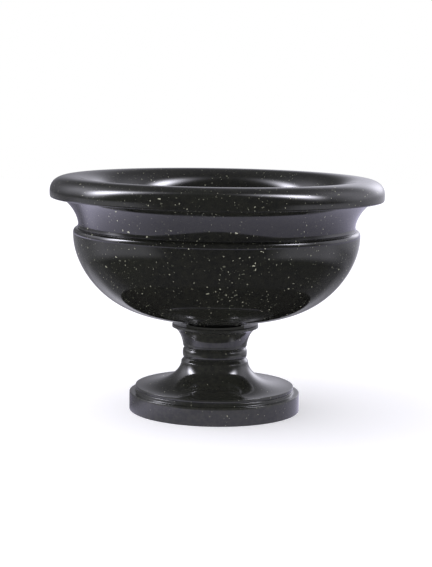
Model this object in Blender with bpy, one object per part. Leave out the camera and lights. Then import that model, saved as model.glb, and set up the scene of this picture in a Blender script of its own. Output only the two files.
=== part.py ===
"""A footed bowl turned from dark polished stone, in metres, with +Z up.

The bowl is a deep oval body with a narrow shoulder, a hollowed neck and a broad rolled lip. It stands on
a foot of its own, which rises from a round plinth through a disc, a flared trumpet, a bead and a short
stem to a flat collar. Each of the two is one outline turned about Z. An outline starts on the axis at
the top, runs down the outer side and ends on the axis at the bottom. The origin is on the table, under
the middle of the foot.
"""

import math

import bmesh
import bpy

# Smoothness: flat sides round each turned piece, and the angle past which an edge is an arris
BOWL_SIDES = 64
FOOT_SIDES = 48
SHARP_ANGLE = math.radians(35)
SAME_POINT = 0.000001

# Smoothness: straight stretches along each curve of the outlines
HOLLOW_STEPS = 9
ROLL_STEPS = 5
LIP_STEPS = 6
LIP_EDGE_STEPS = 2
NECK_STEPS = 5
SHOULDER_STEPS = 3
BODY_STEPS = 12
STEM_STEPS = 6
STEM_EDGE_STEPS = 2
BEAD_STEPS = 5
TRUMPET_STEPS = 8
PLINTH_ARRIS_STEPS = 2

# The hairline between the collar and the bowl that stands on it
JOINT = 0.0003

# Plinth
PLINTH_RADIUS = 0.0774
PLINTH_HEIGHT = 0.0164
PLINTH_ARRIS = 0.0009

# Disc on the plinth, with a fine groove round its edge
LEDGE_WIDTH = 0.0055
DISC_HEIGHT = 0.0059
DISC_ARRIS = 0.0007
GROOVE_DEPTH = 0.0006
GROOVE_SHARE = 0.47  # how far up the disc's edge the groove runs

# Trumpet, a quarter of an oval that sweeps in and up to a thin lip
TRUMPET_HEIGHT = 0.0227
TRUMPET_LIP_RADIUS = 0.0304
TRUMPET_LIP_HEIGHT = 0.0010

# Bead between two quirks, with the angle in degrees at which its curve leaves the upper quirk
BEAD_RADIUS = 0.0293
BEAD_HEIGHT = 0.0087
BEAD_START = 80.0
LOWER_QUIRK_RADIUS = 0.0278
LOWER_QUIRK_HEIGHT = 0.0019
UPPER_QUIRK_RADIUS = 0.0274
UPPER_QUIRK_HEIGHT = 0.0008

# Stem, hollowed out and up to the collar, with two angles in degrees: how far its hollow already leans
# out at its lower edge, and how far short of level it meets the collar
STEM_RADIUS = 0.0292
STEM_EDGE_HEIGHT = 0.0032
STEM_HEIGHT = 0.0152
STEM_LEAN = 15.0
STEM_FLARE = 11.0

# Collar
COLLAR_RADIUS = 0.0392
COLLAR_HEIGHT = 0.0027
COLLAR_ARRIS = 0.0004

# Bowl: its rim, its depth from the crest of the lip to the collar, and the low round seat under it
RIM_RADIUS = 0.1500
BOWL_HEIGHT = 0.1330
SEAT_RADIUS = 0.0250
SEAT_HEIGHT = 0.0037
WALL = 0.0216

# Lip, from the crest out and down to its squarish lower edge
LIP_WIDTH = 0.0182
LIP_DROP = 0.0138
LIP_FULLNESS = 2.4
LIP_EDGE_WIDTH = 0.0014
LIP_EDGE_HEIGHT = 0.0048
LIP_EDGE_FULLNESS = 3.4

# Neck, hollowed under the lip. Its hollow is part of an oval: the oval's half width as a share of the
# setback, and the share of the oval's half height that the neck takes.
NECK_SETBACK = 0.0254
NECK_HEIGHT = 0.0244
NECK_SPREAD = 1.27
NECK_RISE = 0.797
NECK_FULLNESS = 1.7
NECK_FILLET_WIDTH = 0.0007
NECK_FILLET_HEIGHT = 0.0024
NECK_QUIRK = 0.0008

# Shoulder, the rounded top edge of the body
SHOULDER_WIDTH = 0.0036
SHOULDER_HEIGHT = 0.0046
SHOULDER_FULLNESS = 2.3

# Body, squarer towards its underside, and inside
BODY_SETBACK = 0.0209
BODY_FULLNESS = 2.07
UNDERSIDE_FULLNESS = 2.63
INSIDE_LIP_HEIGHT = 0.0260
INSIDE_FULLNESS = 2.2
FLOOR_THICKNESS = 0.0165

STONE_COLOUR = (0.016, 0.017, 0.013, 1.0)
STONE_ROUGHNESS = 0.12

FOOT_HEIGHTS = (
    PLINTH_HEIGHT,
    DISC_HEIGHT,
    TRUMPET_HEIGHT,
    TRUMPET_LIP_HEIGHT,
    LOWER_QUIRK_HEIGHT,
    BEAD_HEIGHT,
    UPPER_QUIRK_HEIGHT,
    STEM_EDGE_HEIGHT,
    STEM_HEIGHT,
    COLLAR_HEIGHT,
)
FOOT_HEIGHT = sum(FOOT_HEIGHTS)


def oval(centre, half_width, half_height, start, end, steps, fullness=2.0, upright_fullness=None):
    """Points along an oval from one angle to another, in degrees from +X towards +Z.

    A fullness of 2 is an ellipse, more than 2 is squarer, and less is more pointed. With an upright
    fullness, the first holds at the sides and goes over to the upright one at the top and bottom.
    """
    points = []
    change = (upright_fullness or fullness) - fullness
    for step in range(steps + 1):
        angle = math.radians(start + (end - start) * step / steps)
        power = 2 / (fullness + change * math.sin(angle) ** 2)
        across = math.copysign(abs(math.cos(angle)) ** power, math.cos(angle))
        up = math.copysign(abs(math.sin(angle)) ** power, math.sin(angle))
        points.append((centre[0] + half_width * across, centre[1] + half_height * up))
    return points


def collar(top):
    """The flat top and plain edge that the bowl stands on."""
    return [
        (0.0, top),
        (COLLAR_RADIUS - COLLAR_ARRIS, top),
        (COLLAR_RADIUS, top - COLLAR_ARRIS),
        (COLLAR_RADIUS, top - COLLAR_HEIGHT + COLLAR_ARRIS),
    ]


def stem(top):
    """The hollow under the collar, down to its rounded lower edge and the quirk above the bead."""
    lean = math.radians(STEM_LEAN)
    flare = math.radians(STEM_FLARE)
    spread = COLLAR_RADIUS - COLLAR_ARRIS - STEM_RADIUS
    half_width = spread / (math.cos(lean) - math.sin(flare))
    half_height = STEM_HEIGHT / (math.cos(flare) - math.sin(lean))
    centre = (STEM_RADIUS + half_width * math.cos(lean), top - half_height * math.cos(flare))
    hollow = oval(centre, half_width, half_height, 90 + STEM_FLARE, 180 - STEM_LEAN, STEM_STEPS)
    edge_centre = (UPPER_QUIRK_RADIUS, top - STEM_HEIGHT)
    edge_width = STEM_RADIUS - UPPER_QUIRK_RADIUS
    edge = oval(edge_centre, edge_width, STEM_EDGE_HEIGHT, 0, -90, STEM_EDGE_STEPS)
    return hollow + edge[1:]


def bead(top):
    """The flattened bead, between the quirk above it and the quirk below it."""
    width = BEAD_RADIUS - LOWER_QUIRK_RADIUS
    middle = (LOWER_QUIRK_RADIUS, top - BEAD_HEIGHT / 2)
    return oval(middle, width, BEAD_HEIGHT / 2, BEAD_START, -90, BEAD_STEPS)


def trumpet(top):
    """The thin lip under the lower quirk and the sweep from it down to the disc."""
    base_radius = PLINTH_RADIUS - LEDGE_WIDTH - DISC_ARRIS
    width = base_radius - TRUMPET_LIP_RADIUS
    centre = (base_radius, top - TRUMPET_LIP_HEIGHT)
    sweep = oval(centre, width, TRUMPET_HEIGHT, 180, 270, TRUMPET_STEPS)
    return [(TRUMPET_LIP_RADIUS - TRUMPET_LIP_HEIGHT, top), *sweep]


def disc(top):
    """The disc's edge, with its groove, down to the ledge of the plinth."""
    radius = PLINTH_RADIUS - LEDGE_WIDTH
    bottom = top - DISC_HEIGHT
    groove = bottom + DISC_HEIGHT * GROOVE_SHARE
    return [
        (radius, top - DISC_ARRIS),
        (radius, groove + GROOVE_DEPTH / 2),
        (radius - GROOVE_DEPTH, groove),
        (radius, groove - GROOVE_DEPTH / 2),
        (radius, bottom),
    ]


def plinth():
    """The ledge, the side and the flat underside that the bowl rests on."""
    arris = (PLINTH_RADIUS - PLINTH_ARRIS, PLINTH_HEIGHT - PLINTH_ARRIS)
    return [
        *oval(arris, PLINTH_ARRIS, PLINTH_ARRIS, 90, 0, PLINTH_ARRIS_STEPS),
        (PLINTH_RADIUS, PLINTH_ARRIS),
        (PLINTH_RADIUS - PLINTH_ARRIS, 0.0),
        (0.0, 0.0),
    ]


def foot_outline():
    """The foot's outline, each length hung from the one above it."""
    disc_top = PLINTH_HEIGHT + DISC_HEIGHT
    trumpet_top = disc_top + TRUMPET_HEIGHT + TRUMPET_LIP_HEIGHT
    bead_top = trumpet_top + LOWER_QUIRK_HEIGHT + BEAD_HEIGHT
    return [
        *collar(FOOT_HEIGHT),
        *stem(FOOT_HEIGHT - COLLAR_HEIGHT),
        *bead(bead_top),
        *trumpet(trumpet_top),
        *disc(disc_top),
        *plinth(),
    ]


def inside(crest):
    """The hollow, from the middle of its floor up the wall and over the inner side of the lip."""
    crest_radius, crest_height = crest
    turn = crest_height - INSIDE_LIP_HEIGHT
    wall_radius = RIM_RADIUS - NECK_SETBACK - WALL
    floor = FOOT_HEIGHT + JOINT + FLOOR_THICKNESS
    hollow = oval((0.0, turn), wall_radius, turn - floor, -90, 0, HOLLOW_STEPS, INSIDE_FULLNESS)
    roll_width = crest_radius - wall_radius
    roll = oval((crest_radius, turn), roll_width, INSIDE_LIP_HEIGHT, 180, 90, ROLL_STEPS)
    return hollow + roll[1:]


def lip(crest):
    """The outer side of the lip, from the crest to its lower edge."""
    crest_radius, crest_height = crest
    widest = crest_height - LIP_DROP
    outer = oval((crest_radius, widest), LIP_WIDTH, LIP_DROP, 90, 0, LIP_STEPS, LIP_FULLNESS)
    edge_centre = (RIM_RADIUS - LIP_EDGE_WIDTH, widest)
    edge = oval(
        edge_centre, LIP_EDGE_WIDTH, LIP_EDGE_HEIGHT, 0, -90, LIP_EDGE_STEPS, LIP_EDGE_FULLNESS
    )
    return outer[1:] + edge[1:]


def neck(top):
    """The hollow that starts under the level underside of the lip, with a fillet and quirk at its foot."""
    neck_radius = RIM_RADIUS - NECK_SETBACK
    bottom = top - NECK_HEIGHT
    width = NECK_SETBACK * NECK_SPREAD
    height = NECK_HEIGHT / NECK_RISE
    start = 180 - math.degrees(math.asin(NECK_RISE ** (NECK_FULLNESS / 2)))
    hollow = oval((neck_radius + width, bottom), width, height, start, 180, NECK_STEPS, NECK_FULLNESS)
    fillet = (neck_radius + NECK_FILLET_WIDTH, bottom - NECK_FILLET_HEIGHT)
    return [*hollow, fillet, (neck_radius, fillet[1] - NECK_QUIRK)]


def body(top):
    """The rounded shoulder, the oval underside, and the low seat that stands on the collar."""
    body_radius = RIM_RADIUS - BODY_SETBACK
    widest = top - SHOULDER_HEIGHT
    seat = FOOT_HEIGHT + JOINT
    shoulder_centre = (body_radius - SHOULDER_WIDTH, widest)
    shoulder = oval(
        shoulder_centre, SHOULDER_WIDTH, SHOULDER_HEIGHT, 90, 0, SHOULDER_STEPS, SHOULDER_FULLNESS
    )
    end = -math.degrees(math.acos((SEAT_RADIUS / body_radius) ** (UNDERSIDE_FULLNESS / 2)))
    sides = (BODY_FULLNESS, UNDERSIDE_FULLNESS)
    whole_drop = -oval((0.0, 0.0), body_radius, 1.0, 0, end, 1, *sides)[-1][1]
    depth = (widest - seat - SEAT_HEIGHT) / whole_drop
    under = oval((0.0, widest), body_radius, depth, 0, end, BODY_STEPS, *sides)
    return [*shoulder, *under[1:], (under[-1][0], seat), (0.0, seat)]


def bowl_outline():
    """The bowl's outline, hung from the crest of its lip."""
    crest = (RIM_RADIUS - LIP_WIDTH, FOOT_HEIGHT + JOINT + BOWL_HEIGHT)
    lip_bottom = crest[1] - LIP_DROP - LIP_EDGE_HEIGHT
    shoulder_top = lip_bottom - NECK_HEIGHT - NECK_FILLET_HEIGHT - NECK_QUIRK
    return [*inside(crest), *lip(crest), *neck(lip_bottom), *body(shoulder_top)]


def stone(name):
    """Polished dark stone."""
    material = bpy.data.materials.new(name)
    material.use_nodes = True
    shader = material.node_tree.nodes["Principled BSDF"]
    shader.inputs["Base Color"].default_value = STONE_COLOUR
    shader.inputs["Roughness"].default_value = STONE_ROUGHNESS
    shader.inputs["Metallic"].default_value = 0.0
    material.diffuse_color = STONE_COLOUR
    return material


def turned(name, outline, sides):
    """One solid turned about Z from an outline, with its arrises kept crisp."""
    shape = bmesh.new()
    corners = [shape.verts.new((radius, 0.0, height)) for radius, height in outline]
    lines = [shape.edges.new(pair) for pair in zip(corners, corners[1:])]
    bmesh.ops.spin(
        shape,
        geom=corners + lines,
        cent=(0.0, 0.0, 0.0),
        axis=(0.0, 0.0, 1.0),
        angle=math.tau,
        steps=sides,
        use_merge=True,
    )
    bmesh.ops.remove_doubles(shape, verts=shape.verts, dist=SAME_POINT)
    bmesh.ops.recalc_face_normals(shape, faces=shape.faces)
    mesh = bpy.data.meshes.new(name)
    shape.to_mesh(mesh)
    shape.free()
    mesh.shade_smooth()
    mesh.set_sharp_from_angle(angle=SHARP_ANGLE)
    mesh.materials.append(stone(name + "_stone"))
    solid = bpy.data.objects.new(name, mesh)
    bpy.context.scene.collection.objects.link(solid)
    return solid


def main():
    for thing in list(bpy.data.objects):
        bpy.data.objects.remove(thing, do_unlink=True)
    turned("foot", foot_outline(), FOOT_SIDES)
    turned("bowl", bowl_outline(), BOWL_SIDES)


main()
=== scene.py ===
"""A footed bowl turned from dark polished stone with pale flecks, in a plain white studio.

Both pieces are surfaces of revolution: an outline in radius and height, carried round the Z axis. The
outlines are in millimetres, and the meshes and the studio are in metres.
"""

import math

import bpy
import numpy as np
from mathutils import Matrix, Vector


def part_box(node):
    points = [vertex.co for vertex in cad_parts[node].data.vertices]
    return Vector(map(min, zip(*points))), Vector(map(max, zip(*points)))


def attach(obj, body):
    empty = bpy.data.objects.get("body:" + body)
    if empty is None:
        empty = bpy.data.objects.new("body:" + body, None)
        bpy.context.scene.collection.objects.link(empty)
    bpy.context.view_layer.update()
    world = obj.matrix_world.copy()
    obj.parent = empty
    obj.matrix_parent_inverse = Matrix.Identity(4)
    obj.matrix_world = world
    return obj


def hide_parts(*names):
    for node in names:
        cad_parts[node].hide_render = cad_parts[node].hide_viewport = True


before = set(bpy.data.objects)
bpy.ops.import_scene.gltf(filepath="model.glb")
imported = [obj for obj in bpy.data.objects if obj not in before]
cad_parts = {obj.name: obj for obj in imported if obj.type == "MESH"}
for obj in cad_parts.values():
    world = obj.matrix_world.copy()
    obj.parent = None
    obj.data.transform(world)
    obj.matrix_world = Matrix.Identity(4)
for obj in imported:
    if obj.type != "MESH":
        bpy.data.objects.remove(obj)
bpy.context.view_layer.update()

MM = 0.001

# What the frame gives, in millimetres
RIM_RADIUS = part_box("bowl")[1].x / MM
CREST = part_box("bowl")[1].z / MM
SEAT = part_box("bowl")[0].z / MM
PLINTH_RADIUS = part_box("foot")[1].x / MM
COLLAR_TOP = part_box("foot")[1].z / MM

# Smoothness: flat sides round a piece, longest stretch of an outline, and the angle of a sharp edge
SIDES = 288
BOWL_STRETCH = 2.5
FOOT_STRETCH = 2.0
SHARP_ANGLE = math.radians(50)

# Smoothness along each curve of the outlines
HOLLOW_STEPS = 70
ROLL_STEPS = 30
LIP_STEPS = 34
LIP_EDGE_STEPS = 10
NECK_STEPS = 30
SHOULDER_STEPS = 12
BODY_STEPS = 80
STEM_STEPS = 24
STEM_EDGE_STEPS = 8
BEAD_STEPS = 18
TRUMPET_STEPS = 40

# Rounding of the corners: how far from a corner it starts, at most which share of a side it takes, the
# least turn that is rounded, and its steps
ARRIS = 0.5
ARRIS_SHARE = 0.45
ARRIS_TURN = math.radians(20)
ARRIS_STEPS = 3

# Plinth, and the disc on it with a fine groove round its edge
PLINTH_HEIGHT = 16.4
LEDGE_WIDTH = 5.5
DISC_HEIGHT = 5.9
DISC_ARRIS = 0.7
GROOVE_DEPTH = 0.6
GROOVE_SHARE = 0.47  # how far up the disc's edge the groove runs

# Trumpet, a quarter of an oval that sweeps in and up to a thin lip
TRUMPET_HEIGHT = 22.7
TRUMPET_LIP_RADIUS = 30.4
TRUMPET_LIP_HEIGHT = 1.0

# Bead between two quirks, with the angle in degrees at which its curve leaves the upper quirk
BEAD_RADIUS = 29.3
BEAD_HEIGHT = 8.7
BEAD_START = 80
LOWER_QUIRK_RADIUS = 27.8
LOWER_QUIRK_HEIGHT = 1.9
UPPER_QUIRK_RADIUS = 27.4
UPPER_QUIRK_HEIGHT = 0.8

# Stem, hollowed out and up to the collar, with two angles in degrees: how far its hollow already leans
# out at its lower edge, and how far short of level it meets the collar
STEM_RADIUS = 29.2
STEM_EDGE_HEIGHT = 3.2
STEM_HEIGHT = 15.2
STEM_LEAN = 15
STEM_FLARE = 11

# Collar, with the step from its edge in to the stem's hollow
COLLAR_RADIUS = 39.2
COLLAR_HEIGHT = 2.7
COLLAR_ARRIS = 0.4

# Lip, from the crest out and down to its squarish lower edge
LIP_WIDTH = 18.2
LIP_DROP = 13.8
LIP_FULLNESS = 2.4
LIP_EDGE_WIDTH = 1.4
LIP_EDGE_HEIGHT = 4.8
LIP_EDGE_FULLNESS = 3.4

# Neck, hollowed under the lip. Its hollow is part of an oval: the oval's half width as a share of the
# setback, and the share of the oval's half height that the neck takes.
NECK_SETBACK = 25.4
NECK_HEIGHT = 24.4
NECK_SPREAD = 1.27
NECK_RISE = 0.797
NECK_FULLNESS = 1.7
NECK_FILLET_WIDTH = 0.7
NECK_FILLET_HEIGHT = 2.4
NECK_QUIRK = 0.8

# Shoulder, the rounded top edge of the body
SHOULDER_WIDTH = 3.6
SHOULDER_HEIGHT = 4.6
SHOULDER_FULLNESS = 2.3

# Body, squarer towards its underside, and the low round seat under it
BODY_SETBACK = 20.9
BODY_FULLNESS = 2.07
UNDERSIDE_FULLNESS = 2.63
SEAT_RADIUS = 25.0
SEAT_HEIGHT = 3.7

# Inside
WALL = 21.6
INSIDE_LIP_HEIGHT = 26.0
INSIDE_FULLNESS = 2.2
FLOOR_THICKNESS = 16.5

# Angles in degrees at which a curve starts, a little past the end of the curve before it
ROLL_START = 178
LIP_START = 88
LIP_EDGE_START = -6
BODY_START = -1
STEM_EDGE_START = -10


# Outlines


def oval(centre, half_width, half_height, start, end, steps, fullness=2.0, upright_fullness=None):
    """Points on an oval: its centre plus half_width * |cos a|^p across and half_height * |sin a|^p up.

    Both keep the signs of cos a and sin a, for angles a in degrees, and p = 2 / fullness: 2 is an ellipse
    and more is squarer. With an upright fullness, the fullness is mixed with it by sin^2 a, so that the
    first holds at the sides and the second at the top and bottom.
    """
    angle = np.radians(np.linspace(start, end, steps + 1))
    change = (upright_fullness or fullness) - fullness
    power = 2 / (fullness + change * np.sin(angle) ** 2)
    across = np.sign(np.cos(angle)) * np.abs(np.cos(angle)) ** power
    up = np.sign(np.sin(angle)) * np.abs(np.sin(angle)) ** power
    return np.column_stack([centre[0] + half_width * across, centre[1] + half_height * up])


def rounded(outline):
    """The outline with each corner that turns far enough replaced by a short curve.

    The curve goes from a point before the corner to one after it, and with s from 0 to 1 it is
    (1 - s)^2 * before + 2 * s * (1 - s) * corner + s^2 * after.
    """
    corner = outline[1:-1]
    into = corner - outline[:-2]
    out = outline[2:] - corner
    turn = np.arctan2(into[:, 0] * out[:, 1] - into[:, 1] * out[:, 0], (into * out).sum(axis=1))
    length_in = np.linalg.norm(into, axis=1, keepdims=True)
    length_out = np.linalg.norm(out, axis=1, keepdims=True)
    before = corner - into / length_in * np.minimum(ARRIS, ARRIS_SHARE * length_in)
    after = corner + out / length_out * np.minimum(ARRIS, ARRIS_SHARE * length_out)
    share = np.linspace(0, 1, ARRIS_STEPS + 1)[:, None]
    ends = (1 - share) ** 2 * before[:, None] + share**2 * after[:, None]
    curve = ends + 2 * share * (1 - share) * corner[:, None]
    blunt = np.abs(turn) < ARRIS_TURN
    curve[blunt, 0] = corner[blunt]
    kept = np.ones(curve.shape[:2], dtype=bool)
    kept[blunt, 1:] = False
    return np.vstack([outline[:1], curve[kept], outline[-1:]])


def resampled(outline, longest):
    """The outline with each of its stretches cut into equal parts, no longer than the longest allowed."""
    lengths = np.linalg.norm(np.diff(outline, axis=0), axis=1)
    parts = np.ceil(lengths / longest).astype(int)
    along = np.concatenate([[0], np.cumsum(np.repeat(1 / parts, parts))])
    corners = np.arange(len(outline))
    radii = np.interp(along, corners, outline[:, 0])
    heights = np.interp(along, corners, outline[:, 1])
    return np.column_stack([radii, heights])


def collar(top):
    """The flat top and plain edge that the bowl stands on."""
    return [(0, top), (COLLAR_RADIUS, top), (COLLAR_RADIUS, top - COLLAR_HEIGHT)]


def stem(top):
    """The hollow under the collar, part of an oval, and the stem's rounded lower edge, a quarter of one."""
    lean = math.radians(STEM_LEAN)
    flare = math.radians(STEM_FLARE)
    spread = COLLAR_RADIUS - COLLAR_ARRIS - STEM_RADIUS
    half_width = spread / (math.cos(lean) - math.sin(flare))
    half_height = STEM_HEIGHT / (math.cos(flare) - math.sin(lean))
    centre = (STEM_RADIUS + half_width * math.cos(lean), top - half_height * math.cos(flare))
    hollow = oval(centre, half_width, half_height, 90 + STEM_FLARE, 180 - STEM_LEAN, STEM_STEPS)
    edge_centre = (UPPER_QUIRK_RADIUS, top - STEM_HEIGHT)
    edge_width = STEM_RADIUS - UPPER_QUIRK_RADIUS
    edge = oval(edge_centre, edge_width, STEM_EDGE_HEIGHT, STEM_EDGE_START, -90, STEM_EDGE_STEPS)
    return np.vstack([hollow, edge])


def bead(top):
    """The flattened bead, half of an oval, between the quirk above it and the quirk below it."""
    middle = (LOWER_QUIRK_RADIUS, top - BEAD_HEIGHT / 2)
    return oval(middle, BEAD_RADIUS - LOWER_QUIRK_RADIUS, BEAD_HEIGHT / 2, BEAD_START, -90, BEAD_STEPS)


def trumpet(top):
    """The thin lip under the lower quirk and the sweep down to the disc, a quarter of an oval."""
    base_radius = PLINTH_RADIUS - LEDGE_WIDTH - DISC_ARRIS
    width = base_radius - TRUMPET_LIP_RADIUS
    centre = (base_radius, top - TRUMPET_LIP_HEIGHT)
    sweep = oval(centre, width, TRUMPET_HEIGHT, 180, 270, TRUMPET_STEPS)
    return np.vstack([(TRUMPET_LIP_RADIUS - TRUMPET_LIP_HEIGHT, top), sweep])


def disc():
    """The disc's edge, with its groove, down to the ledge of the plinth."""
    radius = PLINTH_RADIUS - LEDGE_WIDTH
    groove = PLINTH_HEIGHT + DISC_HEIGHT * GROOVE_SHARE
    return [
        (radius, PLINTH_HEIGHT + DISC_HEIGHT),
        (radius, groove + GROOVE_DEPTH / 2),
        (radius - GROOVE_DEPTH, groove),
        (radius, groove - GROOVE_DEPTH / 2),
        (radius, PLINTH_HEIGHT),
    ]


def plinth():
    """The ledge, the side and the flat underside."""
    return [(PLINTH_RADIUS, PLINTH_HEIGHT), (PLINTH_RADIUS, 0), (0, 0)]


def foot_outline():
    """The foot from the collar's top down to the table, each part hung from the one above it."""
    stem_top = COLLAR_TOP - COLLAR_HEIGHT
    bead_top = stem_top - STEM_HEIGHT - STEM_EDGE_HEIGHT - UPPER_QUIRK_HEIGHT
    trumpet_top = bead_top - BEAD_HEIGHT - LOWER_QUIRK_HEIGHT
    upper = [collar(COLLAR_TOP), stem(stem_top), bead(bead_top)]
    return np.vstack([*upper, trumpet(trumpet_top), disc(), plinth()])


def inside(crest_radius):
    """The hollow and the inner side of the lip, each a quarter of an oval, from the floor up."""
    turn = CREST - INSIDE_LIP_HEIGHT
    wall_radius = RIM_RADIUS - NECK_SETBACK - WALL
    depth = turn - SEAT - FLOOR_THICKNESS
    hollow = oval((0, turn), wall_radius, depth, -90, 0, HOLLOW_STEPS, INSIDE_FULLNESS)
    roll_width = crest_radius - wall_radius
    roll = oval((crest_radius, turn), roll_width, INSIDE_LIP_HEIGHT, ROLL_START, 90, ROLL_STEPS)
    return np.vstack([hollow, roll])


def lip(crest_radius):
    """The outer side of the lip and its lower edge, each a quarter of a squarish oval."""
    widest = CREST - LIP_DROP
    outer = oval((crest_radius, widest), LIP_WIDTH, LIP_DROP, LIP_START, 0, LIP_STEPS, LIP_FULLNESS)
    centre = (RIM_RADIUS - LIP_EDGE_WIDTH, widest)
    size = (LIP_EDGE_WIDTH, LIP_EDGE_HEIGHT)
    edge = oval(centre, *size, LIP_EDGE_START, -90, LIP_EDGE_STEPS, LIP_EDGE_FULLNESS)
    return np.vstack([outer, edge])


def neck(top):
    """The hollow under the lip, part of an oval, with a fillet and a quirk at its foot."""
    radius = RIM_RADIUS - NECK_SETBACK
    bottom = top - NECK_HEIGHT
    width = NECK_SETBACK * NECK_SPREAD
    height = NECK_HEIGHT / NECK_RISE
    start = 180 - math.degrees(math.asin(NECK_RISE ** (NECK_FULLNESS / 2)))
    hollow = oval((radius + width, bottom), width, height, start, 180, NECK_STEPS, NECK_FULLNESS)
    fillet = (radius + NECK_FILLET_WIDTH, bottom - NECK_FILLET_HEIGHT)
    return np.vstack([hollow, fillet, (radius, fillet[1] - NECK_QUIRK)])


def body(top):
    """The rounded shoulder, the oval underside as far as the seat's radius, and the seat."""
    radius = RIM_RADIUS - BODY_SETBACK
    widest = top - SHOULDER_HEIGHT
    centre = (radius - SHOULDER_WIDTH, widest)
    size = (SHOULDER_WIDTH, SHOULDER_HEIGHT)
    shoulder = oval(centre, *size, 90, 0, SHOULDER_STEPS, SHOULDER_FULLNESS)
    end = -math.degrees(math.acos((SEAT_RADIUS / radius) ** (UNDERSIDE_FULLNESS / 2)))
    unit = oval((0, 0), radius, 1, BODY_START, end, BODY_STEPS, BODY_FULLNESS, UNDERSIDE_FULLNESS)
    depth = (widest - SEAT - SEAT_HEIGHT) / -unit[-1, 1]
    underside = unit * [1, depth] + [0, widest]
    return np.vstack([shoulder, underside, (underside[-1, 0], SEAT), (0, SEAT)])


def bowl_outline():
    """The bowl from the floor of its hollow, over the lip and down its outer side to the seat."""
    crest_radius = RIM_RADIUS - LIP_WIDTH
    neck_top = CREST - LIP_DROP - LIP_EDGE_HEIGHT
    shoulder_top = neck_top - NECK_HEIGHT - NECK_FILLET_HEIGHT - NECK_QUIRK
    return np.vstack([inside(crest_radius), lip(crest_radius), neck(neck_top), body(shoulder_top)])


# Meshes


def mesh_piece(name, points, faces):
    """An object at the origin, whose mesh has these points and faces."""
    mesh = bpy.data.meshes.new(name)
    mesh.from_pydata(points, [], faces)
    piece = bpy.data.objects.new(name, mesh)
    bpy.context.scene.collection.objects.link(piece)
    return piece


def turned(name, outline):
    """A closed surface of revolution: x = radius * cos(turn), y = radius * sin(turn), z = height.

    The rings of the outline's inner points are joined by quads, and its two ends, which lie on the axis,
    are single points joined to their rings by triangles.
    """
    rings = outline[1:-1] * MM
    turn = np.linspace(0, math.tau, SIDES, endpoint=False)
    x = rings[:, :1] * np.cos(turn)
    y = rings[:, :1] * np.sin(turn)
    z = np.repeat(rings[:, 1:], SIDES, axis=1)
    poles = outline[[0, -1], 1:] * [0, 0, MM]
    points = np.vstack([np.stack([x, y, z], axis=2).reshape(-1, 3), poles])

    here = np.arange(SIDES)
    beside = (here + 1) % SIDES
    ring_starts = np.arange(len(rings)) * SIDES
    row = ring_starts[:-1, None]
    corners = [row + here, row + SIDES + here, row + SIDES + beside, row + beside]
    quads = np.stack(corners, axis=2).reshape(-1, 4)
    first_pole = np.full(SIDES, len(rings) * SIDES)
    first_fan = np.column_stack([here, beside, first_pole])
    last_fan = np.column_stack([ring_starts[-1] + beside, ring_starts[-1] + here, first_pole + 1])

    piece = mesh_piece(name, points, [*quads.tolist(), *first_fan.tolist(), *last_fan.tolist()])
    piece.data.shade_smooth()
    piece.data.set_sharp_from_angle(angle=SHARP_ANGLE)
    return piece


# Shader nodes


class Nodes:
    """Short calls that add one shader node each, link what feeds it, and mostly return its result."""

    def __init__(self, owner):
        self.tree = owner.node_tree

    def add(self, kind, settings=None, **feeds):
        """A node of this kind. A feed called i0, i1 and so on goes to the input of that number.

        Any other feed goes to the input of its name, and is a result to link or else a value.
        """
        node = self.tree.nodes.new(kind)
        for name, value in (settings or {}).items():
            setattr(node, name, value)
        for name, value in feeds.items():
            numbered = name[0] == "i" and name[1:].isdigit()
            socket = node.inputs[int(name[1:]) if numbered else name]
            if isinstance(value, bpy.types.NodeSocket):
                self.tree.links.new(value, socket)
            else:
                socket.default_value = value
        return node

    def math(self, operation, first, second=0.0, clamp=False):
        node = self.add("ShaderNodeMath", {"operation": operation, "use_clamp": clamp}, i0=first, i1=second)
        return node.outputs[0]

    def vector(self, operation, first, second):
        return self.add("ShaderNodeVectorMath", {"operation": operation}, i0=first, i1=second).outputs[0]

    def scaled(self, vector, share):
        node = self.add("ShaderNodeVectorMath", {"operation": "SCALE"}, i0=vector, Scale=share)
        return node.outputs[0]

    def dot(self, first, second):
        node = self.add("ShaderNodeVectorMath", {"operation": "DOT_PRODUCT"}, i0=first, i1=second)
        return node.outputs["Value"]

    def parts(self, vector):
        """The x, y and z of a vector, each by its letter."""
        return dict(zip("xyz", self.add("ShaderNodeSeparateXYZ", Vector=vector).outputs))

    def range(self, value, low, high, to_low=0.0, to_high=1.0):
        """A smooth step from to_low, where the value is low, to to_high, where it is high."""
        node = self.add("ShaderNodeMapRange", {"interpolation_type": "SMOOTHSTEP"}, Value=value)
        node.inputs["From Min"].default_value = low
        node.inputs["From Max"].default_value = high
        node.inputs["To Min"].default_value = to_low
        node.inputs["To Max"].default_value = to_high
        return node.outputs[0]

    def steps(self, parts, rows):
        """The product of smooth steps, each row a part of a vector, low, high, to_low and to_high."""
        product = 1.0
        for letter, *limits in rows:
            product = self.math("MULTIPLY", self.range(parts[letter], *limits), product)
        return product

    def mix(self, share, first, second):
        node = self.add("ShaderNodeMix", {"data_type": "RGBA"}, i0=share, i6=first, i7=second)
        return node.outputs[2]

    def noise(self, vector, scale, detail=2.0, roughness=0.5, output="Fac"):
        feeds = {"Scale": scale, "Detail": detail, "Roughness": roughness}
        return self.add("ShaderNodeTexNoise", Vector=vector, **feeds).outputs[output]


# Stone

# Colours: the ground's own, the olive mottling and clouds in it, and the dullest and brightest fleck
GROUND = (0.0095, 0.0097, 0.0090, 1)
MOTTLE = (0.0160, 0.0161, 0.0130, 1)
CLOUD = (0.0150, 0.0161, 0.0112, 1)
DULL_FLECK = (0.045, 0.049, 0.034, 1)
BRIGHT_FLECK = (0.55, 0.55, 0.42, 1)

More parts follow.
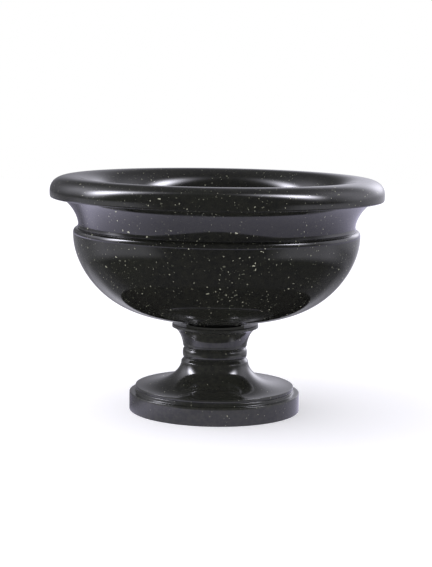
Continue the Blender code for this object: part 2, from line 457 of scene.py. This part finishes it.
# Patterns: how finely each is divided, in spots to a metre, and the values of its noise between which it
# goes from nothing to all
MOTTLE_FINENESS = 260.0
MOTTLE_BAND = (0.32, 0.70)
CLOUD_FINENESS = 17.0
CLOUD_BAND = (0.45, 0.75)
CLOUD_MOST = 0.5
CROWD_FINENESS = 24.0
CROWD_BAND = (0.36, 0.64)
RAGGED_FINENESS = 700.0
SMEAR_FINENESS = 35.0
SMEAR_BAND = (0.35, 0.70)
RIPPLE_FINENESS = 160.0

# Flecks, three sizes of them: the width of a cell and the reach of its fleck in millimetres, the share of
# cells that hold one, and how the cells are turned, in radians, and squeezed, which makes the flecks long
FLECKS = (
    {"cell": 3.2, "reach": 0.70, "share": 0.95, "turn": (0.3, 0.5, 0.2), "squeeze": (1.0, 1.9, 1.2)},
    {"cell": 5.5, "reach": 1.00, "share": 0.65, "turn": (1.1, 0.2, 0.8), "squeeze": (2.1, 1.0, 1.1)},
    {"cell": 9.0, "reach": 1.50, "share": 0.35, "turn": (0.6, 1.3, 2.1), "squeeze": (1.0, 1.3, 2.2)},
)
FLECK_LEAST = 0.4  # the smallest fleck's reach as a share of the largest
FLECK_EDGE = 0.25  # how wide a fleck fades out, in millimetres
FLECK_RARITY = 2.6  # the higher, the fewer bright flecks
FLECK_SPARSE = 0.35  # how many flecks are left where they are few
RAGGEDNESS = 0.0018  # how far a fleck's edge is pushed about, in metres for the whole range of the noise
NOISE_MIDDLE = (0.5, 0.5, 0.5)

# Polish: roughness where it is finest and where it is smeared, what a fleck adds, and the ripple and the
# pits of the flecks in the surface
FINEST_POLISH = 0.06
SMEARED_POLISH = 0.11
FLECK_ROUGHNESS = 0.15
RIPPLE_SHARE = 0.25
PIT_SHARE = 0.5
BUMP_STRENGTH = 0.25
BUMP_HEIGHT = 0.00005
STONE_IOR = 1.52


def ground_colour(nodes, place, lightness):
    """Near-black stone with fine olive mottling and broad faint clouds, times the lightness."""
    mottle = nodes.noise(place, MOTTLE_FINENESS, detail=5.0, roughness=0.65)
    cloud = nodes.noise(place, CLOUD_FINENESS)
    mottled = nodes.mix(nodes.range(mottle, *MOTTLE_BAND), GROUND, MOTTLE)
    clouded = nodes.mix(nodes.range(cloud, *CLOUD_BAND, 0.0, CLOUD_MOST), mottled, CLOUD)
    return nodes.scaled(clouded, lightness)


def flecks_over(nodes, place, ground, density):
    """The colour with flecks in it, and how far a fleck covers each place, from 0 to 1.

    A fleck is where its cell's point is nearer than the reach, which differs from cell to cell. A cell
    holds one if its first random number is less than the share that the crowding leaves there.
    """
    push = nodes.noise(place, RAGGED_FINENESS, output="Color")
    push = nodes.scaled(nodes.vector("SUBTRACT", push, NOISE_MIDDLE), RAGGEDNESS)
    ragged = nodes.vector("ADD", place, push)
    crowd = nodes.range(nodes.noise(place, CROWD_FINENESS, detail=1.0), *CROWD_BAND, FLECK_SPARSE, 1.0)
    colour = ground
    cover = 0.0
    for layer in FLECKS:
        cell = layer["cell"]
        laid = nodes.add("ShaderNodeMapping", {"vector_type": "POINT"}, Vector=ragged)
        laid.inputs["Rotation"].default_value = layer["turn"]
        laid.inputs["Scale"].default_value = layer["squeeze"]
        grains = nodes.add("ShaderNodeTexVoronoi", Vector=laid.outputs[0], Scale=1 / (cell * MM))
        chance, growth, light = nodes.add("ShaderNodeSeparateColor", Color=grains.outputs["Color"]).outputs
        size = nodes.range(growth, 0.0, 1.0, FLECK_LEAST, 1.0)
        reach = nodes.math("MULTIPLY", size, layer["reach"] / cell)
        within = nodes.math("SUBTRACT", reach, grains.outputs["Distance"])
        soft = nodes.math("DIVIDE", within, FLECK_EDGE / cell, clamp=True)
        chosen = nodes.math("LESS_THAN", chance, nodes.math("MULTIPLY", crowd, layer["share"] * density))
        fleck = nodes.math("MULTIPLY", soft, chosen)
        pale = nodes.mix(nodes.math("POWER", light, FLECK_RARITY), DULL_FLECK, BRIGHT_FLECK)
        colour = nodes.mix(fleck, colour, pale)
        cover = nodes.math("MAXIMUM", fleck, cover)
    return colour, cover


def flecked_stone(name, density, lightness):
    """Polished near-black stone with pale flecks cut through at random, a little duller where they are."""
    material = bpy.data.materials.new(name)
    material.use_nodes = True
    nodes = Nodes(material)
    place = nodes.add("ShaderNodeTexCoord").outputs["Object"]
    colour, cover = flecks_over(nodes, place, ground_colour(nodes, place, lightness), density)

    smear = nodes.noise(place, SMEAR_FINENESS, detail=3.0)
    polish = nodes.range(smear, *SMEAR_BAND, FINEST_POLISH, SMEARED_POLISH)
    roughness = nodes.math("ADD", polish, nodes.math("MULTIPLY", cover, FLECK_ROUGHNESS))
    ripple = nodes.math("MULTIPLY", nodes.noise(place, RIPPLE_FINENESS), RIPPLE_SHARE)
    height = nodes.math("SUBTRACT", ripple, nodes.math("MULTIPLY", cover, PIT_SHARE))
    bump = nodes.add("ShaderNodeBump", Strength=BUMP_STRENGTH, Distance=BUMP_HEIGHT, Height=height)

    shader = material.node_tree.nodes["Principled BSDF"]
    links = material.node_tree.links
    links.new(colour, shader.inputs["Base Color"])
    links.new(roughness, shader.inputs["Roughness"])
    links.new(bump.outputs[0], shader.inputs["Normal"])
    shader.inputs["IOR"].default_value = STONE_IOR
    return material


# Pieces

bowl = turned("turned_bowl", resampled(rounded(bowl_outline()), BOWL_STRETCH))
bowl.data.materials.append(flecked_stone("flecked_stone_of_the_bowl", density=1.0, lightness=1.0))
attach(bowl, "root")
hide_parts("bowl")

foot = turned("turned_foot", resampled(rounded(foot_outline()), FOOT_STRETCH))
foot.data.materials.append(flecked_stone("flecked_stone_of_the_foot", density=0.4, lightness=2.1))
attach(foot, "root")
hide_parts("foot")


# Studio

# Room that the polish sees, in patches, each the product of its rows. A row is a smooth step: a part of
# the direction, its values where the step starts and ends, and the light at its start and end.
BACKDROP = (
    ("x", -0.30, 0.30, 0.12, 0.70),
    ("y", -0.15, 0.35, 0.0, 1.0),
    ("z", -0.35, -0.10, 0.0, 1.0),
    ("z", 0.50, 0.05, 0.0, 1.0),
)
TABLE_BESIDE = (
    ("y", -0.80, -0.45, 0.0, 1.0),
    ("y", 0.60, 0.15, 0.3, 0.95),
    ("z", -0.45, -0.30, 0.0, 1.0),
    ("z", -0.02, -0.10, 0.0, 1.0),
)
TABLE_BEHIND = (
    ("x", -0.10, 0.20, 1.0, 0.55),
    ("y", 0.20, 0.60, 0.0, 1.0),
    ("y", 0.62, 0.88, 0.2, 1.2),
    ("z", -0.90, -0.75, 0.0, 1.0),
    ("z", -0.25, -0.35, 0.0, 1.0),
    ("z", -0.35, -0.50, 0.5, 1.0),
)
ROOM_DARKEST = 0.06
ROOM_TINT = (0.90, 0.89, 1.0)

# Soft lights in that room: a direction, the sideways and upright reach, and the light in the middle
GLOWS = (
    {"towards": (-0.79, 0.05, 0.565), "across": 0.140, "up": 0.31, "peak": 28.0},
    {"towards": (0.59, -0.17, 0.69), "across": 0.135, "up": 0.28, "peak": 30.0},
    {"towards": (-0.80, 0.325, 0.50), "across": 0.36, "up": 0.36, "peak": 2.2},
    {"towards": (0.80, 0.30, 0.50), "across": 0.45, "up": 0.45, "peak": 1.4},
    {"towards": (0.42, 0.88, 0.24), "across": 0.25, "up": 0.22, "peak": 2.5},
)
GLOW_HORIZON = ("z", -0.12, 0.12, 0.0, 1.0)  # the step in height over which they fade out downwards

# Light on matt surfaces: its colour, and how much weaker it is from the right and stronger from the left
EVEN_LIGHT = (0.97, 0.97, 1.0)
LEFT_BIAS = 0.55

# White, for the world as the camera sees it and for the light that the table gives off
WHITE = (1.0, 1.0, 1.0, 1)

# Table, in metres, with its own colour and the strength of that light
TABLE_SIDE = 6.0
TABLE_COLOUR = (0.80, 0.79, 0.84, 1)
TABLE_LIGHT = 0.37

# Cards that glow on the polish only, in millimetres from the bowl's and the foot's own edges
CARD_SIDES = 96
NECK_CARD_INNER = RIM_RADIUS - 17.5
NECK_CARD_OUTER = RIM_RADIUS - 8.7
NECK_CARD_HEIGHT = CREST - 51.8
NECK_CARD_STRETCH = 1.8
PLINTH_CARD_INNER = PLINTH_RADIUS + 0.2
PLINTH_CARD_OUTER = RIM_RADIUS + 20.0
PLINTH_CARD_HEIGHT = 0.1
COLLAR_CARD_RADIUS = SEAT_RADIUS + 1.2
COLLAR_CARD_TOP = SEAT + 3.6
COLLAR_CARD_BOTTOM = COLLAR_TOP + 0.1

# Their light and its colour, with how much stronger it grows to the left, and how much of it is lost
# behind the object on the left
CARD_LIGHT = 0.95
CARD_TINT = (0.80, 0.77, 1.0, 1)
COLLAR_CARD_LIGHT = 0.06
COLLAR_CARD_TINT = (1.0, 1.0, 0.95, 1)
CARD_TO_THE_LEFT = ("x", -0.04, -0.12, 1.0, 1.7)
CARD_FAR_LEFT = (
    ("x", 0.0, -0.05, 0.0, 1.0),
    ("y", -0.05, 0.01, 0.0, 1.0),
)
CARD_FAR_LOSS = 0.8

# Square lamps over the left and the right, in metres from the bowl's middle
LAMP_SIDE = 0.9
LAMP_DISTANCE = 1.3
BOWL_MIDDLE = (0, 0, 0.15)
LEFT_LAMP_TOWARDS = (-0.5, -0.02, 0.86)
LEFT_LAMP_LIGHT = 0.8
RIGHT_LAMP_TOWARDS = (0.5, -0.10, 0.86)
RIGHT_LAMP_LIGHT = 0.4

# Camera, in metres, degrees and millimetres of lens
CAMERA_PLACE = (0.0001, -1.410, 0.3033)
CAMERA_LOOKS_DOWN = 7.60
CAMERA_ROLL = 0.9
CAMERA_LENS = 99.7
CAMERA_SENSOR = 36


def lamp(name, towards, light):
    """A square lamp in one direction from the bowl's middle, facing it, which the polish doesn't see."""
    data = bpy.data.lights.new(name, "AREA")
    data.shape = "SQUARE"
    data.size = LAMP_SIDE
    data.energy = light * math.pi * LAMP_SIDE**2
    thing = bpy.data.objects.new(name, data)
    bpy.context.scene.collection.objects.link(thing)
    direction = Vector(towards).normalized()
    thing.location = Vector(BOWL_MIDDLE) + direction * LAMP_DISTANCE
    thing.rotation_mode = "QUATERNION"
    thing.rotation_quaternion = direction.to_track_quat("Z", "Y")
    thing.visible_glossy = False


def ring(name, inner, outer, height, outer_height, stretch=1.0):
    """A ring of quads from an inner circle at one height to an outer edge at another.

    A point of either edge is (radius * cos(turn), radius * sin(turn), height), and the outer edge's x is
    times the stretch, which makes it an ellipse.
    """
    turn = np.linspace(0, math.tau, CARD_SIDES, endpoint=False)
    circle = np.column_stack([np.cos(turn), np.sin(turn), np.ones(CARD_SIDES)])
    points = np.vstack([circle * [inner, inner, height], circle * [outer * stretch, outer, outer_height]])
    here = np.arange(CARD_SIDES)
    beside = (here + 1) % CARD_SIDES
    faces = np.column_stack([here, here + CARD_SIDES, beside + CARD_SIDES, beside])
    return mesh_piece(name, points * MM, faces.tolist())


def glowing_card(sheet, light, tint):
    """A card that only polish sees: it glows on its front, and its back lets light through."""
    material = bpy.data.materials.new(sheet.name)
    material.use_nodes = True
    nodes = Nodes(material)
    tree = material.node_tree
    tree.nodes.remove(tree.nodes["Principled BSDF"])
    place = nodes.parts(nodes.add("ShaderNodeTexCoord").outputs["Object"])
    left = nodes.math("MULTIPLY", nodes.steps(place, [CARD_TO_THE_LEFT]), light)
    loss = nodes.math("MULTIPLY", nodes.steps(place, CARD_FAR_LEFT), CARD_FAR_LOSS)
    strength = nodes.math("MULTIPLY", left, nodes.math("SUBTRACT", 1.0, loss))
    front = nodes.add("ShaderNodeEmission", Color=tint, Strength=strength).outputs[0]
    back = nodes.add("ShaderNodeBsdfTransparent").outputs[0]
    from_behind = nodes.add("ShaderNodeNewGeometry").outputs["Backfacing"]
    either = nodes.add("ShaderNodeMixShader", i0=from_behind, i1=front, i2=back)
    tree.links.new(either.outputs[0], tree.nodes["Material Output"].inputs["Surface"])
    sheet.data.materials.append(material)
    for kind in ("camera", "diffuse", "transmission", "shadow", "volume_scatter"):
        setattr(sheet, "visible_" + kind, False)
    return sheet


def cards():
    """A level card round the neck, one round the plinth and an upright band over the collar.

    The last two light the foot only, so that they don't show in the bowl.
    """
    neck_heights = (NECK_CARD_HEIGHT, NECK_CARD_HEIGHT)
    neck_size = (NECK_CARD_INNER, NECK_CARD_OUTER, *neck_heights, NECK_CARD_STRETCH)
    glowing_card(ring("card_round_the_neck", *neck_size), CARD_LIGHT, CARD_TINT)
    plinth_size = (PLINTH_CARD_INNER, PLINTH_CARD_OUTER, PLINTH_CARD_HEIGHT, PLINTH_CARD_HEIGHT)
    by_the_plinth = glowing_card(ring("card_round_the_plinth", *plinth_size), CARD_LIGHT, CARD_TINT)
    band_size = (COLLAR_CARD_RADIUS, COLLAR_CARD_RADIUS, COLLAR_CARD_TOP, COLLAR_CARD_BOTTOM)
    band = ring("card_over_the_collar", *band_size)
    over_the_collar = glowing_card(band, COLLAR_CARD_LIGHT, COLLAR_CARD_TINT)
    foot_only = bpy.data.collections.new("lit_by_the_cards_of_the_foot")
    foot_only.objects.link(foot)
    by_the_plinth.light_linking.receiver_collection = foot_only
    over_the_collar.light_linking.receiver_collection = foot_only


def glow(nodes, way, towards, across, up, peak):
    """A soft light: peak * e^-((sideways / across)^2 + (upwards / up)^2), on its own side of the room.

    Sideways and upwards are how far a direction lies from the light's middle.
    """
    middle = Vector(towards).normalized()
    sideways = middle.cross((0, 0, 1)).normalized()
    upwards = sideways.cross(middle)
    fall = 0.0
    for axis, reach in ((sideways, across), (upwards, up)):
        off = nodes.dot(way, axis / reach)
        fall = nodes.math("ADD", nodes.math("MULTIPLY", off, off), fall)
    shape = nodes.math("EXPONENT", nodes.math("MULTIPLY", fall, -1.0))
    ahead = nodes.math("GREATER_THAN", nodes.dot(way, middle), 0.0)
    return nodes.math("MULTIPLY", nodes.math("MULTIPLY", shape, peak), ahead)


def white_world():
    """White to the camera, a soft light to matt surfaces, and to the polish a partly dark room."""
    world = bpy.data.worlds.new("studio")
    world.use_nodes = True
    bpy.context.scene.world = world
    nodes = Nodes(world)
    way = nodes.add("ShaderNodeTexCoord").outputs["Generated"]
    parts = nodes.parts(way)

    table = nodes.math("MAXIMUM", nodes.steps(parts, TABLE_BESIDE), nodes.steps(parts, TABLE_BEHIND))
    light = nodes.math("ADD", nodes.math("MAXIMUM", nodes.steps(parts, BACKDROP), table), ROOM_DARKEST)
    above = nodes.steps(parts, [GLOW_HORIZON])
    for size in GLOWS:
        light = nodes.math("ADD", light, nodes.math("MULTIPLY", glow(nodes, way, **size), above))
    room = nodes.scaled(ROOM_TINT, light)

    from_left = nodes.math("SUBTRACT", 1.0, nodes.math("MULTIPLY", parts["x"], LEFT_BIAS))
    even = nodes.scaled(EVEN_LIGHT, from_left)
    rays = nodes.add("ShaderNodeLightPath").outputs
    unseen = nodes.mix(rays["Is Glossy Ray"], even, room)
    seen = nodes.mix(rays["Is Camera Ray"], unseen, WHITE)
    background = world.node_tree.nodes["Background"]
    world.node_tree.links.new(seen, background.inputs["Color"])
    background.inputs["Strength"].default_value = 1.0


def white_table():
    """A matt white table top that gives off a little light, so that it is as white as the world behind it.

    The polish doesn't see it: the lower half of the painted room stands in for it there.
    """
    corners = np.array([[-1, -1, 0], [1, -1, 0], [1, 1, 0], [-1, 1, 0]]) * TABLE_SIDE / 2
    table = mesh_piece("white_table", corners, [[0, 1, 2, 3]])
    material = bpy.data.materials.new("white_table")
    material.use_nodes = True
    shader = material.node_tree.nodes["Principled BSDF"]
    shader.inputs["Base Color"].default_value = TABLE_COLOUR
    shader.inputs["Roughness"].default_value = 1.0
    shader.inputs["Specular IOR Level"].default_value = 0.0
    shader.inputs["Emission Color"].default_value = WHITE
    shader.inputs["Emission Strength"].default_value = TABLE_LIGHT
    table.data.materials.append(material)
    table.visible_glossy = False


def camera():
    """The photograph's camera, in front of the bowl, above it and looking a little down."""
    lens = bpy.data.cameras.new("camera")
    lens.lens = CAMERA_LENS
    lens.sensor_width = CAMERA_SENSOR
    lens.sensor_fit = "AUTO"
    thing = bpy.data.objects.new("camera", lens)
    bpy.context.scene.collection.objects.link(thing)
    pitch = Matrix.Rotation(math.radians(90 - CAMERA_LOOKS_DOWN), 4, "X")
    roll = Matrix.Rotation(math.radians(CAMERA_ROLL), 4, "Z")
    thing.matrix_world = Matrix.Translation(CAMERA_PLACE) @ pitch @ roll
    bpy.context.scene.camera = thing


white_table()
white_world()
cards()
lamp("left_softbox", LEFT_LAMP_TOWARDS, LEFT_LAMP_LIGHT)
lamp("right_softbox", RIGHT_LAMP_TOWARDS, RIGHT_LAMP_LIGHT)
camera()
bpy.context.scene.view_settings.view_transform = "Standard"
